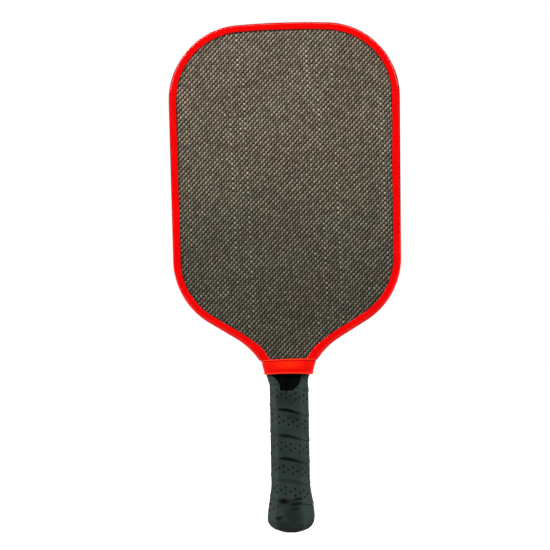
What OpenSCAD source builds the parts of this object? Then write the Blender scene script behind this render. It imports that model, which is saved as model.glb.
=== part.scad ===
// Pickleball paddle: a carbon-faced honeycomb head in a red edge guard, on an octagonal wrapped
// handle with a red rubber collar at the throat. Millimetres.
//
// +Z runs up the handle to the tip of the head, +X runs across the head, and the front face looks
// towards -Y. The origin is the middle of the grip, on the handle's axis. Most heights are easier
// to read from the butt, so the modules below measure them from there and from_butt() moves the
// finished piece into place. A 2D drawing in (x, height) becomes a layer with layer().

/* [Overall] */
// Length from the butt to the tip of the head
paddle_length = 419.1; // [400:0.1:430]
// Greatest width of the head, over the edge guard
head_width = 190.5; // [189:0.1:192]
// Height of the middle of the grip above the butt
grip_centre = 65; // [55:1:75]

/* [Head outline] */
// Radius of the nearly flat tip
crown_radius = 680; // [400:10:2000]
// Radius of the two upper corners
corner_radius = 61.4; // [58:0.1:64]
// Lean of each side towards the handle, in degrees
side_lean = 0.64; // [0.5:0.01:0.8]
// Radius of the two lower corners
shoulder_radius = 61; // [60:0.1:64]
// Height of the lower corners' centres above the butt
shoulder_height = 224.8; // [224:0.1:226]
// Slope of the shoulders from the horizontal, in degrees
shoulder_slope = 31.3; // [31:0.1:32]
// Radius of the hollow curve from each shoulder into the handle
throat_radius = 59.6; // [58:0.1:60]

/* [Sandwich] */
// Thickness over both carbon face sheets
sandwich = 14; // [13:0.1:15]
// Thickness of one carbon face sheet
face_thickness = 0.5; // [0.3:0.05:1]
// Thickness of one bonding veil between the honeycomb and a face sheet
veil_thickness = 0.15; // [0.1:0.05:0.3]
// Honeycomb cell, from the middle of one wall to the middle of the opposite one
cell_pitch = 8; // [7:0.5:12]
// Thickness of a honeycomb cell wall
cell_wall = 0.36; // [0.2:0.02:0.8]
// Solid rim left round the honeycomb
core_rim = 0.8; // [0.6:0.1:3]

/* [Edge guard] */
// Thickness of the guard's outer wall
guard_web = 1.1; // [0.8:0.1:2]
// Reach of the guard's two lips, measured from its outer face
guard_reach = 6.4; // [4:0.1:9]
// Thickness of each lip
guard_lip = 0.85; // [0.6:0.05:1.5]
// Rounding of the guard's outer edges
guard_round = 2.6; // [1:0.1:4]
// Thickness of the adhesive tape that lines the guard
adhesive_thickness = 0.15; // [0.1:0.05:0.3]
// Width of adhesive tape that shows beyond each lip
adhesive_show = 0.4; // [0:0.1:0.8]

/* [Handle] */
// Width of the bare handle
handle_width = 28; // [27.5:0.1:28.2]
// Thickness of the bare handle, over both pallets
handle_thickness = 24.7; // [24:0.1:26]
// Height at which the pallets start to ramp down to the faces
ramp_start = 117; // [110:0.5:120]
// Height at which the ramps reach the faces
ramp_end = 132; // [130:0.5:134]
// Depth of the pockets moulded into the inner side of each pallet
pocket_depth = 3.4; // [2:0.1:4]
// Number of pockets in each pallet
pocket_count = 5; // [3:1:7]

/* [Butt cap] */
// Extra half-width of the flare at its widest
flare_reach = 3.25; // [2:0.05:5]
// Height of the widest point of the flare
flare_height = 12.3; // [10:0.1:16]
// Height at which the flare runs out into the handle
flare_top = 42; // [36:0.5:48]
// Rounding of the flare's lower edge
butt_round = 10.2; // [8:0.1:12]
// Half-width of the flat middle of the butt
butt_flat = 7; // [5:0.5:9]
// Height at which the cap's tapered skirt ends
cap_top = 36; // [30:0.5:36]
// Thickness of the butt cap's end plate
end_plate = 6; // [5:0.5:8]

/* [Grip] */
// Thickness of the felt backing
felt_thickness = 0.8; // [0.5:0.1:1.2]
// Thickness of the tacky outer skin
skin_thickness = 1.0; // [0.6:0.1:1.5]
// Height at which the wrap starts, on the butt cap
wrap_start = 4.5; // [3.5:0.1:8]
// Height at which the wrap ends, under the collar's lower lip
wrap_end = 130.4; // [130.2:0.1:130.8]
// Rise of the wrap in one turn
wrap_pitch = 19.4; // [15:0.1:25]
// Depth of the seam between two turns
seam_depth = 0.4; // [0.2:0.05:0.8]

/* [Collar] */
// Height of the collar's lower lip
collar_bottom = 129.6; // [129.2:0.1:130]
// Height of the collar's upper lip
collar_top = 142.2; // [141.8:0.1:142.4]
// Half-width of the collar at its lower lip
collar_low_half = 19.7; // [19.6:0.1:20.5]
// Half-width of the collar at its upper lip
collar_high_half = 23.7; // [23.6:0.1:24.5]
// Thickness of the rubber on the two faces
collar_wall = 1.2; // [0.8:0.1:2]
// How far each lip stands out
collar_lip = 0.45; // [0:0.05:1]
// How far the lips rise in the middle of each face
collar_arch = 1; // [0:0.1:1.5]

/* [Hidden] */
$fn = 96;
sheet_inset = guard_web + adhesive_thickness;
guard_thickness = sandwich + 2 * (adhesive_thickness + guard_lip);
core_thickness = sandwich - 2 * (face_thickness + veil_thickness);
tang_bottom = end_plate;
tang_half = handle_width / 2;
wrap_thickness = felt_thickness + skin_thickness;
finish_thickness = 0.25;
finish_bottom = ramp_start - 1;
finish_top = ramp_end + 4;
rim_gap = 0.05;

// Centres of the outline's arcs on the right-hand side, as (x, height). Each arc touches the next
// line or arc, so the outline has no corners at any inset.
corner_x = head_width / 2 - corner_radius;
corner_centre = [
  corner_x,
  paddle_length - crown_radius + sqrt(pow(crown_radius - corner_radius, 2) - pow(corner_x, 2))
];
shoulder_drop = (shoulder_height - corner_centre.y) * sin(side_lean);
shoulder_centre = [
  corner_x + (corner_radius - shoulder_radius + shoulder_drop) / cos(side_lean),
  shoulder_height
];
throat_x = handle_width / 2 + throat_radius;
throat_gap = (throat_x - shoulder_centre.x) * sin(shoulder_slope) - shoulder_radius - throat_radius;
throat_centre = [throat_x, shoulder_height + throat_gap / cos(shoulder_slope)];

// Outward directions at the places where the arcs meet, as angles in the (x, height) plane.
crown_angle = 90 - asin(corner_x / (crown_radius - corner_radius));
side_angle = -side_lean;
shoulder_angle = shoulder_slope - 90;
guard_angle = 179 - asin((collar_top - throat_centre.y) / throat_radius);

function along(angle) = [cos(angle), sin(angle)];
function flip(points) = [for (i = [len(points) - 1 : -1 : 0]) [-points[i].x, points[i].y]];

// Rise of the collar's lips at a place across the handle, none at their ends.
function arch(x, half) = collar_arch * max(0, 1 - pow(x / half, 2));

module from_butt() {
  translate([0, 0, -grip_centre]) children();
}

// Turns a drawing in (x, height) into a layer that starts `front` millimetres in front of the
// middle plane and is `thickness` thick towards the front.
module layer(front, thickness) {
  rotate([90, 0, 0]) translate([0, 0, front]) linear_extrude(thickness) children();
}

// ---- Outline -------------------------------------------------------------------------------

// The right-hand edge is a list of stations, each [arc centre, radius, direction, bulge], where
// bulge is 1 on an outward curve and -1 on a hollow one. Every inset of the outline uses the same
// stations, so the layers nest without touching. The last station is the middle of the tip.
function edge_arc(centre, radius, from, to, steps, bulge = 1) =
  [for (i = [0 : steps]) [centre, radius, from + i * (to - from) / steps, bulge]];
function edge_point(station, inset) =
  station[0] + (station[1] - station[3] * inset) * along(station[2]);
function throat_half(inset, height) =
  throat_centre.x - sqrt(pow(throat_radius + inset, 2) - pow(height - throat_centre.y, 2));
function throat_arc(from, to, steps) = edge_arc(throat_centre, throat_radius, from, to, steps, -1);
head_edge = concat(
  throat_arc(guard_angle, 180 + shoulder_angle, 8),
  edge_arc(shoulder_centre, shoulder_radius, shoulder_angle, side_angle, 20),
  edge_arc(corner_centre, corner_radius, side_angle, crown_angle, 30),
  edge_arc([0, paddle_length - crown_radius], crown_radius, crown_angle, 90, 3)
);

// The sheets' hollow edge, from the tang up to the collar's upper rim, `margin` inside the sheet.
function throat_edge(margin) =
  let (
    inset = sheet_inset + margin,
    start = 180 - acos((throat_centre.x - tang_half + margin) / (throat_radius + inset))
  )
  [for (s = throat_arc(start, guard_angle, 8)) edge_point(s, inset)];

// The shape of every sheet in the sandwich: the head, and the tang that runs down the handle.
module sheet_outline(margin = 0) {
  foot = [tang_half - margin, tang_bottom + margin];
  head = [for (s = head_edge) edge_point(s, sheet_inset + margin)];
  right = concat([foot], throat_edge(margin), head);
  polygon(concat(right, flip(right)));
}

// ---- Sandwich ------------------------------------------------------------------------------

module honeycomb_cells() {
  column = cell_pitch * sqrt(3) / 2;
  columns = ceil(head_width / 2 / column);
  rows = ceil(paddle_length / cell_pitch);
  for (i = [-columns : columns], j = [0 : rows]) {
    translate([i * column, (j + (i % 2 == 0 ? 0 : 0.5)) * cell_pitch]) {
      circle((cell_pitch - cell_wall) / sqrt(3), $fn = 6);
    }
  }
}

module honeycomb_core() {
  color([0.93, 0.93, 0.9]) from_butt() layer(-core_thickness / 2, core_thickness) {
    difference() {
      sheet_outline();
      intersection() {
        sheet_outline(core_rim);
        honeycomb_cells();
      }
    }
  }
}

module core_veil(front) {
  color([0.85, 0.86, 0.84]) from_butt() layer(front, veil_thickness) sheet_outline();
}

module face_sheet(front) {
  color([0.36, 0.34, 0.3]) from_butt() layer(front, face_thickness) sheet_outline();
}

module front_core_veil() core_veil(core_thickness / 2);
module back_core_veil() core_veil(-core_thickness / 2 - veil_thickness);
module front_face_sheet() face_sheet(sandwich / 2 - face_thickness);
module back_face_sheet() face_sheet(-sandwich / 2);

// ---- Edge guard ----------------------------------------------------------------------------

// Sections are lists of [inset from the guard's outer face, distance in front of the middle].
guard_half = guard_thickness / 2;
guard_bevel = guard_lip / 2;
guard_front = concat(
  [[guard_web, guard_half - guard_lip], [guard_reach, guard_half - guard_lip]],
  [[guard_reach, guard_half - guard_bevel], [guard_reach - guard_bevel, guard_half]],
  [for (a = [90 : 22.5 : 180]) [guard_round, guard_half - guard_round] + guard_round * along(a)]
);
adhesive_reach = guard_reach + adhesive_show;
adhesive_front = [
  [sheet_inset, sandwich / 2], [adhesive_reach, sandwich / 2],
  [adhesive_reach, sandwich / 2 + adhesive_thickness], [guard_web, sandwich / 2 + adhesive_thickness]
];
function both_halves(front) =
  concat(front, [for (i = [len(front) - 1 : -1 : 0]) [front[i].x, -front[i].y]]);

// Where a section's point meets the collar's arched upper rim, which cuts the section's ends off.
function rim_height(inset) =
  collar_top + rim_gap + arch(throat_half(inset, collar_top), collar_high_half);
function rim_point(inset) = [throat_half(inset, rim_height(inset)), rim_height(inset)];

// Sweeps a section round the head, from the collar on the right over the tip to the left.
module edge_run(section) {
  right = concat(
    [[for (p = section) [rim_point(p.x).x, -p.y, rim_point(p.x).y]]],
    [for (s = head_edge) [for (p = section) [edge_point(s, p.x).x, -p.y, edge_point(s, p.x).y]]]
  );
  left = [for (i = [len(right) - 2 : -1 : 0]) [for (p = right[i]) [-p.x, p.y, p.z]]];
  rings = concat(right, left);
  around = len(section);
  last = (len(rings) - 1) * around;
  polyhedron(
    points = [for (r = rings) each r],
    faces = concat(
      [[for (j = [around - 1 : -1 : 0]) j], [for (j = [0 : around - 1]) last + j]],
      [
        for (i = [0 : around : last - 1], j = [0 : around - 1])
          let (k = (j + 1) % around) [i + j, i + k, i + around + k, i + around + j]
      ]
    )
  );
}

module edge_guard() {
  color([0.93, 0.03, 0.02]) from_butt() edge_run(both_halves(guard_front));
}

module edge_guard_adhesive() {
  color([0.12, 0.12, 0.12]) from_butt() edge_run(both_halves(adhesive_front));
}

// ---- Handle --------------------------------------------------------------------------------

// How far the outside stands out over the butt, as [extra half-width, height]: a dome with a flat
// middle, a round lower edge, and a flare that runs out into the handle.
dome_start = 28;
dome_steps = 6;
flare_steps = 8;
function dome_point(a) =
  [flare_reach - butt_round * (1 - sin(a)), flare_height - butt_round * cos(a)];
function flare_point(t) =
  [flare_reach * (1 + cos(180 * t)) / 2, flare_height + t * (flare_top - flare_height)];
flare = concat(
  [[butt_flat - tang_half - wrap_thickness, 0]],
  [for (i = [0 : dome_steps]) dome_point(dome_start + i * (90 - dome_start) / dome_steps)],
  [for (i = [1 : flare_steps]) flare_point(i / flare_steps)]
);

// The bare handle is an octagon. Its slanted sides stand at 45 degrees and start at the edges of
// the tang. Each pair of sides has an edge line of [distance from the axis, height] points.
function slant(half_width) = (half_width + sandwich / 2) / sqrt(2);
function edge_line(half, upper, flared) =
  concat(flared ? [for (p = flare) [half + p.x, p.y]] : [[half, 0]], upper);
function width_line(flared) =
  edge_line(tang_half, throat_edge(0), flared);
function slant_line(flared) =
  edge_line(slant(tang_half), [for (p = throat_edge(0)) [slant(p.x), p.y]], flared);
function depth_line(flared) = edge_line(
  handle_thickness / 2,
  [[handle_thickness / 2, ramp_start], [sandwich / 2, ramp_end], [sandwich / 2, collar_top]],
  flared
);

// A long solid with one pair of the handle's sides, `skin` outside the bare surface, facing along
// the direction `turn`.
module side_pair(line, skin, turn) {
  right = [for (p = line) [p.x + skin, p.y]];
  rotate(turn) layer(-head_width / 2, head_width) polygon(concat(right, flip(right)));
}

// The solid inside the surface `skin` outside the bare handle, between two heights. The flare of
// the butt is left off for the pieces that the butt cap goes round.
module handle_solid(skin, bottom, top, flared = true) {
  intersection() {
    translate([-tang_half * 2, -tang_half * 2, bottom]) {
      cube([handle_width * 2, handle_width * 2, top - bottom]);
    }
    side_pair(width_line(flared), skin, 0);
    side_pair(depth_line(flared), skin, 90);
    side_pair(slant_line(flared), skin, 45);
    side_pair(slant_line(flared), skin, -45);
  }
}

// A moulded half of the handle, glued to the front sheet's tang, with pockets on its inner side.
module front_pallet() {
  rib = 3;
  edge_wall = 5;
  top = ramp_end - 1;
  pocket_bottom = end_plate + 2 * rib;
  step = (ramp_start - pocket_bottom) / pocket_count;
  width = handle_width - 2 * edge_wall;
  difference() {
    intersection() {
      handle_solid(0, tang_bottom, top, false);
      translate([-handle_width, -handle_width - sandwich / 2, tang_bottom]) {
        cube([2 * handle_width, handle_width, top]);
      }
    }
    for (i = [0 : pocket_count - 1]) {
      translate([-width / 2, -sandwich / 2 - pocket_depth, pocket_bottom + i * step]) {
        cube([width, 2 * pocket_depth, step - rib]);
      }
    }
  }
}

module front_handle_pallet() {
  color([0.15, 0.15, 0.16]) from_butt() front_pallet();
}

module back_handle_pallet() {
  color([0.15, 0.15, 0.16]) from_butt() mirror([0, 1, 0]) front_pallet();
}

module butt_cap() {
  foot_step = 1;
  color([0.08, 0.08, 0.08]) from_butt() difference() {
    union() {
      handle_solid(0, foot_step, cap_top);
      handle_solid(wrap_thickness, 0, wrap_start);
    }
    handle_solid(0, end_plate, flare_top, false);
  }
}

// ---- Grip ----------------------------------------------------------------------------------

// Black tape round the ramps and the foot of the head. It closes the wrap's upper end.
module finishing_tape() {
  color([0.02, 0.02, 0.02]) from_butt() difference() {
    handle_solid(finish_thickness, finish_bottom, finish_top);
    handle_solid(0, finish_bottom - 1, finish_top + 1);
  }
}

// The last turn of the wrap is cut on a slant at both sides of the front, which leaves a notch.
// Its corners are [distance across, height above its foot], from the foot's left end round.
notch_foot = ramp_start;
notch_top = collar_bottom + 3 - notch_foot;
notch_corners = [
  [-6.6, 0], [4.4, 0], [4.9, 1.3], [7.9, 3.5], [10.3, 6.4], [11.1, 11.7], [11.3, notch_top],
  [-14.5, notch_top], [-13.1, 11.7], [-9.6, 8.7], [-7.2, 5.2]
];
module wrap_notch() {
  layer(sandwich / 2, handle_thickness) {
    translate([0, notch_foot]) polygon(notch_corners);
  }
}

// One layer of the wrap, between two skins of the handle.
module wrap_layer(inner, outer) {
  difference() {
    handle_solid(outer, wrap_start, wrap_end);
    handle_solid(inner, 0, finish_top);
    wrap_notch();
  }
}

module grip_felt() {
  color([0.1, 0.11, 0.1]) from_butt() difference() {
    wrap_layer(0, felt_thickness);
    handle_solid(finish_thickness, finish_bottom, finish_top);
  }
}

// Corners of the wrap's octagon, anticlockwise from the front's left corner, seen from above.
wrap_half = tang_half + wrap_thickness;
wrap_depth = handle_thickness / 2 + wrap_thickness;
front_half = sqrt(2) * (slant(tang_half) + wrap_thickness) - wrap_depth;
side_half = sqrt(2) * (slant(tang_half) + wrap_thickness) - wrap_half;
wrap_corners = [
  [-front_half, -wrap_depth], [front_half, -wrap_depth],
  [wrap_half, -side_half], [wrap_half, side_half],
  [front_half, wrap_depth], [-front_half, wrap_depth],
  [-wrap_half, side_half], [-wrap_half, -side_half]
];
wrap_sides = [for (i = [0 : 7]) wrap_corners[(i + 1) % 8] - wrap_corners[i]];
function way_round(i) = i == 0 ? 0 : way_round(i - 1) + norm(wrap_sides[i - 1]);

// The seams between the turns: a shallow groove that goes down to the right across the front and
// on round the handle, one straight stretch on each side of the octagon.
module wrap_seams() {
  turns = 4;
  seam_top = ramp_start + 2;
  width = 0.8;
  slope = atan(wrap_pitch / way_round(8));
  for (turn = [0 : turns - 1], i = [0 : 7]) {
    drop = wrap_pitch * (turn + way_round(i) / way_round(8));
    translate([wrap_corners[i].x, wrap_corners[i].y, seam_top - drop]) {
      rotate([0, 0, atan2(wrap_sides[i].y, wrap_sides[i].x)]) rotate([0, slope, 0]) {
        translate([-width / 2, -skin_thickness, -width / 2]) {
          cube([norm(wrap_sides[i]) / cos(slope) + width, skin_thickness + seam_depth, width]);
        }
      }
    }
  }
}

module grip_tape() {
  color([0.2, 0.25, 0.22]) from_butt() difference() {
    wrap_layer(felt_thickness, wrap_thickness);
    wrap_seams();
  }
}

// ---- Collar --------------------------------------------------------------------------------

// One ring of points round the collar, anticlockwise seen from above. Its front and back rise
// towards the middle.
function ring_half(half, depth, corner) = concat(
  [for (i = [0 : 8]) [(half - corner) * (i / 4 - 1), -depth]],
  [for (a = [-75 : 15 : 0]) [half - corner, corner - depth] + corner * along(a)],
  [for (a = [0 : 15 : 75]) [half - corner, depth - corner] + corner * along(a)]
);
function ring(height, half, depth, corner) = [
  for (turn = [1, -1]) for (p = ring_half(half, depth, corner))
    [turn * p.x, turn * p.y, height + arch(p.x, half)]
];

// Each station is [height, half-width, half-depth]. The outside goes up with a rolled lip at each
// end, and the inside comes back down, with room for the end of the wrap at the bottom.
ramp_swell = 0.8;
lip_steps = [0.03, 0.09, 0.92, 0.98];
lip_roots = [0.14, 0.87];
waist_steps = [0.3, 0.5, 0.7];
waist = -0.1;
outside_depth_low = wrap_thickness + sandwich / 2 + collar_wall + ramp_swell;
outside_depth_high = sandwich / 2 + finish_thickness + collar_wall;
function outside(t, lip) = [
  collar_bottom + t * (collar_top - collar_bottom),
  collar_low_half + t * (collar_high_half - collar_low_half) + lip - collar_lip,
  outside_depth_low + t * (outside_depth_high - outside_depth_low) + lip
];
collar_outside = [
  outside(0, 0), outside(lip_steps[0], collar_lip), outside(lip_steps[1], collar_lip),
  outside(lip_roots[0], 0), for (t = waist_steps) outside(t, waist), outside(lip_roots[1], 0),
  outside(lip_steps[2], collar_lip), outside(lip_steps[3], collar_lip), outside(1, 0)
];
room = 0.15;
wrap_room = wrap_thickness + room;
tang_room = finish_thickness + room;
step_low = 0.9;
step_high = 1.6;
function inside(height, room) =
  [height, throat_half(sheet_inset, height) + room, sandwich / 2 + room];
wrap_end_depth = (handle_thickness - sandwich) / 2 * (ramp_end - collar_bottom) / (ramp_end - ramp_start);
collar_inside = [
  for (i = [0 : 4])
    inside(collar_top + i * (wrap_end + step_high - collar_top) / 4, tang_room),
  for (height = [wrap_end + step_low, collar_bottom])
    inside(height, wrap_room) + [0, 0, wrap_end_depth]
];

module collar() {
  outer_corner = 4.5;
  inner_corner = 0.4;
  rings = [
    for (s = collar_outside) ring(s[0], s[1], s[2], outer_corner),
    for (s = collar_inside) ring(s[0], s[1], s[2], inner_corner)
  ];
  count = len(rings);
  around = len(rings[0]);
  color([0.95, 0.1, 0.03]) from_butt() polyhedron(
    points = [for (r = rings) each r],
    faces = [
      for (i = [0 : count - 1], j = [0 : around - 1])
        let (k = (i + 1) % count, m = (j + 1) % around)
          [i * around + j, k * around + j, k * around + m, i * around + m]
    ]
  );
}

// ---- Nodes ---------------------------------------------------------------------------------

honeycomb_core();
front_core_veil();
back_core_veil();
front_face_sheet();
back_face_sheet();
edge_guard();
edge_guard_adhesive();
front_handle_pallet();
back_handle_pallet();
butt_cap();
grip_felt();
grip_tape();
finishing_tape();
collar();
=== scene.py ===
import math

import bpy
import numpy as np
from mathutils import Matrix, Vector


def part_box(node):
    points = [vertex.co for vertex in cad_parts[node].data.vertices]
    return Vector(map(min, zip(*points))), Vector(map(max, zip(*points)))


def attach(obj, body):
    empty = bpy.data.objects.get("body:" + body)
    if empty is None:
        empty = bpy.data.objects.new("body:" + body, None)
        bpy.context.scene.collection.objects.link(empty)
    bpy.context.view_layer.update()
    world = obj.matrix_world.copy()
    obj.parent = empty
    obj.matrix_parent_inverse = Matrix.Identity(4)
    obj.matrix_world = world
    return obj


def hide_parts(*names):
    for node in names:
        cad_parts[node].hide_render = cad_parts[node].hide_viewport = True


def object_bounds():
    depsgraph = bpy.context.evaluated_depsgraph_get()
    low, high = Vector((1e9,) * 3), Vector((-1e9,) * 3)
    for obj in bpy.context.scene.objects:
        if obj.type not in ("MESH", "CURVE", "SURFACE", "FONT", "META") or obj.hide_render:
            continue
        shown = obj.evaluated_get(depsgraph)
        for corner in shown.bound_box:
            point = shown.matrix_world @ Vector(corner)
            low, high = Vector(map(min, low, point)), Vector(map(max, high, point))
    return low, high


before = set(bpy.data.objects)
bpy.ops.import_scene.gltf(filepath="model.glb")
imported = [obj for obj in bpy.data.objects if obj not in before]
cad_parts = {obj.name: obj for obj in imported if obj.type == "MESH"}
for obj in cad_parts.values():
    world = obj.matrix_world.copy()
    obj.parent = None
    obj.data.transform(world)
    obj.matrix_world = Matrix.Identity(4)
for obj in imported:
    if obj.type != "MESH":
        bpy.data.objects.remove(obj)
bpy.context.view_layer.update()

MM = 0.001
BUTT_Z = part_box("butt_cap")[0].z
BODY = "root"
# Faces that meet at a turn of more than this keep a crisp edge.
SHARP_ANGLE = math.radians(70)


def from_butt(z):
    """A height in the frame, in metres, as millimetres above the butt."""
    return (z - BUTT_Z) / MM


# ---- Dimensions, in millimetres ----

# Read off the boxes of the CAD model's nodes.
LENGTH = from_butt(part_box("edge_guard")[1].z)
HEAD_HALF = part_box("edge_guard")[1].x / MM
GUARD_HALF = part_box("edge_guard")[1].y / MM
SHEET_FRONT = -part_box("front_face_sheet")[0].y / MM
SHEET_BACK = -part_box("front_face_sheet")[1].y / MM
SHEET_FOOT = from_butt(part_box("front_face_sheet")[0].z)
HANDLE_DEPTH = -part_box("front_handle_pallet")[0].y / MM
COLLAR_BOTTOM = from_butt(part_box("collar")[0].z)
WRAP_START = from_butt(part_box("grip_tape")[0].z)
WRAP_END = from_butt(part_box("grip_tape")[1].z)
CAP_TOP = from_butt(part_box("butt_cap")[1].z)
FINISH_BOTTOM = from_butt(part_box("finishing_tape")[0].z)
FINISH_TOP = from_butt(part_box("finishing_tape")[1].z)

# The head's outline: the radii of its arcs, the lean of its sides and the slope of its shoulders
# in degrees, and the height of the shoulder arcs' centres.
CROWN_RADIUS = 680.0
CORNER_RADIUS = 61.4
SIDE_LEAN = 0.64
SHOULDER_RADIUS = 61.0
SHOULDER_HEIGHT = 224.8
SHOULDER_SLOPE = 31.3
THROAT_RADIUS = 59.6

# How far the sheets stop short of the head's edge, and the section of the guard round them.
SHEET_INSET = 1.25
GUARD_WEB = 1.1
GUARD_REACH = 6.4
GUARD_LIP = 0.85
GUARD_ROUND = 2.6
ADHESIVE_REACH = 6.85

# The bare handle, its ramps up to the head, and how far out each layer wound on it reaches.
HANDLE_HALF = 14.0
RAMP_START = 117.0
RAMP_END = 132.0
FELT = 0.8
WRAP = 1.8
FINISH = 0.25
# Height of the collar's upper rim at its ends, and how far above it the head's edge is cut off.
COLLAR_TOP = 142.1
GUARD_FOOT = 1.5
# The sheets' edges meet the sides of the handle this far above the centres of the throat's arcs.
TANG_RISE = 12.3

# The flare of the butt, its rounding, and the plate that closes its foot.
FLARE_REACH = 3.25
FLARE_HEIGHT = 12.3
FLARE_TOP = 42.0
BUTT_ROUND = 10.2
END_PLATE = 6.0

# Gap that keeps glued surfaces from lying in the same place.
CLEAR = 0.01


# ---- Meshes ----


def to_frame(points):
    """Points as (x, y, height) in millimetres, as places in the frame in metres."""
    return np.asarray(points, float).reshape(-1, 3) * MM + np.array([0, 0, BUTT_Z])


def make_piece(name, points, faces, material, slot, replaced, **layers):
    """A smooth mesh piece on the one body, from points in millimetres, a list of faces, and layers
    of one value a point for its material."""
    mesh = bpy.data.meshes.new(name)
    mesh.from_pydata(to_frame(points).tolist(), [], faces)
    mesh.validate()
    for key, values in layers.items():
        layer = mesh.attributes.new(key, "FLOAT", "POINT")
        layer.data.foreach_set("value", np.asarray(values, np.float32).ravel())
    mesh.shade_smooth()
    mesh.set_sharp_from_angle(angle=SHARP_ANGLE)
    mesh.materials.append(material)
    piece = bpy.data.objects.new(name, mesh)
    bpy.context.scene.collection.objects.link(piece)
    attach(piece, BODY)
    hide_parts(replaced)
    return piece


def loft(rings, closed, caps):
    """Points and faces of a skin over rings of equal length. closed joins the last ring to the
    first, and caps puts a face over each end."""
    rings = np.asarray(rings, float)
    count, around = rings.shape[:2]
    rows = np.arange(count if closed else count - 1)
    here = np.arange(around)
    after = (here + 1) % around
    low = rows[:, None] * around
    high = (rows[:, None] + 1) % count * around
    corners = (low + here, low + after, high + after, high + here)
    faces = np.stack([corner.ravel() for corner in corners], 1).tolist()
    if caps:
        faces.append(list(range(around))[::-1])
        faces.append(list(range((count - 1) * around, count * around)))
    return rings.reshape(-1, 3), faces


def shell(outer, inner, keep, periodic):
    """Points, faces and kept point numbers of a closed shell between two grids of points. keep
    says which cells of the grid are there, and periodic joins the last column to the first."""
    rows, columns = outer.shape[:2]
    right = (np.arange(columns) + 1) % columns
    index = np.arange(rows * columns).reshape(rows, columns)
    if not periodic:
        keep = np.pad(keep, ((0, 0), (0, 1)))
    corner = [index[:-1], index[:-1][:, right], index[1:][:, right], index[1:]]
    front = np.stack([c[keep] for c in corner], 1)
    back = front[:, ::-1] + rows * columns
    sides = []
    below = np.vstack([np.zeros((1, columns), bool), keep[:-1]])
    above = np.vstack([keep[1:], np.zeros((1, columns), bool)])
    neighbours = [below, np.roll(keep, -1, 1), above, np.roll(keep, 1, 1)]
    for side, neighbour in enumerate(neighbours):
        edge = keep & ~neighbour
        start, end = corner[side][edge], corner[(side + 1) % 4][edge]
        sides.append(np.stack([end, start, start + rows * columns, end + rows * columns], 1))
    faces = np.vstack([front, back] + sides)
    used, faces = np.unique(faces, return_inverse=True)
    points = np.concatenate([outer.reshape(-1, 3), inner.reshape(-1, 3)])[used]
    return points, faces.reshape(-1, 4).tolist(), used


def smoothstep(low, high, value):
    """Rises smoothly from 0 at `low` to 1 at `high`, which may be the smaller of the two."""
    t = np.clip((value - low) / (high - low), 0, 1)
    return t * t * (3 - 2 * t)


def hump(value, width):
    """A smooth bump of height 1 and half-width `width` round 0."""
    return np.exp(-((value / width) ** 2))


# ---- Outline of the head ----

corner_x = HEAD_HALF - CORNER_RADIUS
crown_centre = np.array([0, LENGTH - CROWN_RADIUS])
corner_centre = np.array(
    [corner_x, crown_centre[1] + math.sqrt((CROWN_RADIUS - CORNER_RADIUS) ** 2 - corner_x**2)]
)
lean = math.radians(SIDE_LEAN)
slope = math.radians(SHOULDER_SLOPE)
shoulder_drop = (SHOULDER_HEIGHT - corner_centre[1]) * math.sin(lean)
shoulder_centre = np.array(
    [corner_x + (CORNER_RADIUS - SHOULDER_RADIUS + shoulder_drop) / math.cos(lean), SHOULDER_HEIGHT]
)
throat_x = HANDLE_HALF + THROAT_RADIUS
throat_gap = (throat_x - shoulder_centre[0]) * math.sin(slope) - SHOULDER_RADIUS - THROAT_RADIUS
throat_centre = np.array([throat_x, SHOULDER_HEIGHT + throat_gap / math.cos(slope)])
crown_angle = 90 - math.degrees(math.asin(corner_x / (CROWN_RADIUS - CORNER_RADIUS)))
# Spacing of points on the head's arcs, steps on each straight side, and the gap below which two
# points are one.
GUARD_STEP = 2.0
SIDE_STEPS = 65
SAME_PLACE = 0.01
MIRROR = np.array([-1, 1])


def throat_half(inset, height):
    """Half-width of the outline in the hollow above the handle, `inset` inside the edge."""
    rise = np.asarray(height, float) - throat_centre[1]
    return throat_centre[0] - np.sqrt((THROAT_RADIUS + inset) ** 2 - rise**2)


def arc(centre, radius, start, end, bulge=1):
    """Points on an arc and its outward directions, as (x, height) pairs. bulge is -1 for an arc
    that is hollow seen from outside."""
    count = max(2, math.ceil(math.radians(abs(end - start)) * radius / GUARD_STEP))
    angles = np.radians(np.linspace(start, end, count + 1))
    ray = np.stack([np.cos(angles), np.sin(angles)], 1)
    return centre + radius * ray, bulge * ray


def head_edge():
    """The head's edge from the collar on the right, over the tip, to the collar on the left."""
    foot_rise = COLLAR_TOP + GUARD_FOOT - throat_centre[1]
    start = 180 - math.degrees(math.asin(foot_rise / THROAT_RADIUS))
    runs = [
        arc(throat_centre, THROAT_RADIUS, start, 90 + SHOULDER_SLOPE, -1),
        arc(shoulder_centre, SHOULDER_RADIUS, SHOULDER_SLOPE - 90, -SIDE_LEAN),
        arc(corner_centre, CORNER_RADIUS, -SIDE_LEAN, crown_angle),
        arc(crown_centre, CROWN_RADIUS, crown_angle, 90),
    ]
    share = np.linspace(0, 1, SIDE_STEPS + 1)[1:-1, None]
    side = runs[1][0][-1] + (runs[2][0][0] - runs[1][0][-1]) * share
    runs.insert(2, (side, np.repeat(runs[2][1][:1], len(side), 0)))
    points = np.concatenate([run[0] for run in runs])
    outward = np.concatenate([run[1] for run in runs])
    fresh = np.r_[True, np.hypot(*np.diff(points, axis=0).T) > SAME_PLACE]
    points, outward = points[fresh], outward[fresh]
    points = np.vstack([points, points[-2::-1] * MIRROR])
    outward = np.vstack([outward, outward[-2::-1] * MIRROR])
    return points, outward


edge_points, edge_outward = head_edge()
edge_length = np.r_[0, np.cumsum(np.hypot(*np.diff(edge_points, axis=0).T))]


# ---- Handle ----

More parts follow.
